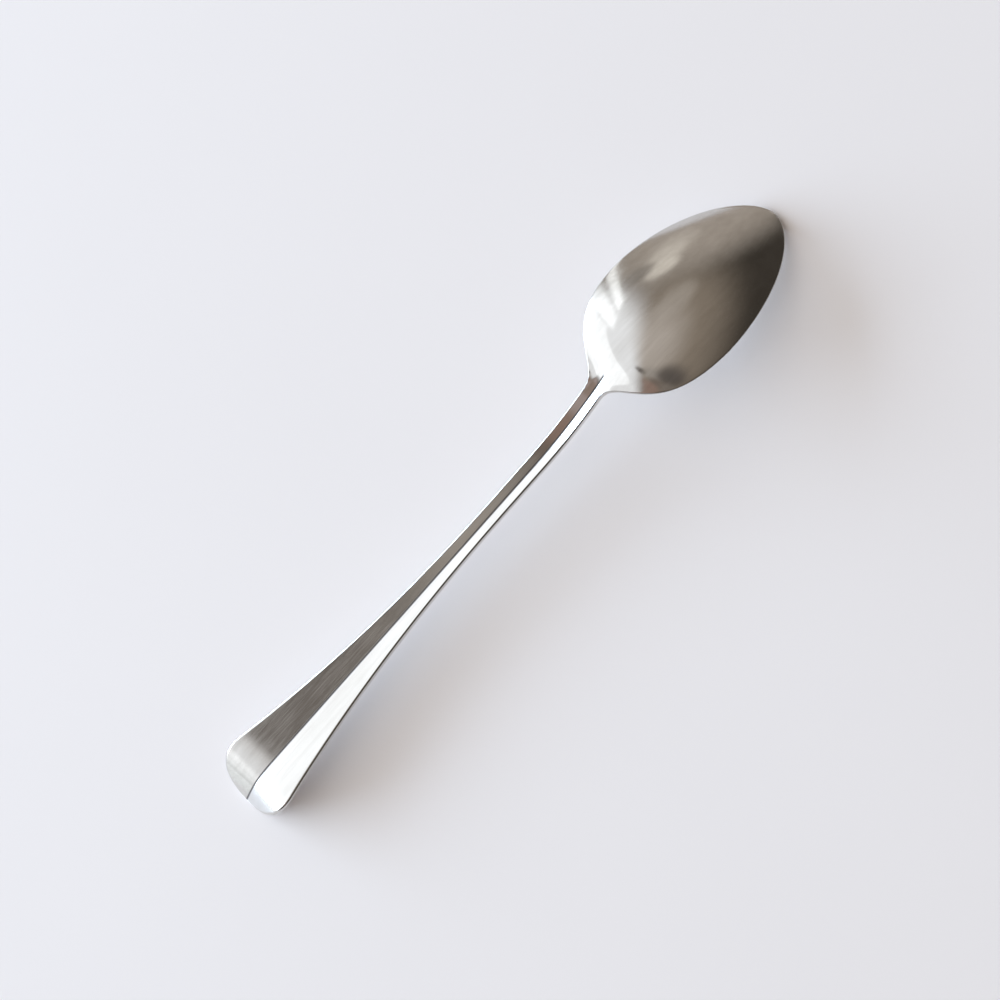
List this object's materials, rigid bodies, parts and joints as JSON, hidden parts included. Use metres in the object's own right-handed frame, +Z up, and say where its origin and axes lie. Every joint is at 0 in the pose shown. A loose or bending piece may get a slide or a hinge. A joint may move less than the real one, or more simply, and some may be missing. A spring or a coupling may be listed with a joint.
{
  "type": "dessert spoon",
  "caption": "Dessert spoon in satin stainless steel: egg-shaped bowl, slim neck, and a flared handle with a V groove along its back and a turned end, lying face down.",
  "frame": {"origin": "middle of the spoon's length and width, on the table on which it lies", "axes": "+X along the spoon from the end of the handle to the tip of the bowl, +Z up out of the table, the back of the bowl on top"},
  "size_m": [0.18, 0.0322, 0.0191],
  "materials": {
    "stainless_steel": "satin, finely brushed along its length"
  },
  "bodies": {
    "root": {"handle_end": "stainless_steel", "grip": "stainless_steel", "stem": "stainless_steel", "neck": "stainless_steel", "bowl": "stainless_steel"}
  },
  "joints": []
}
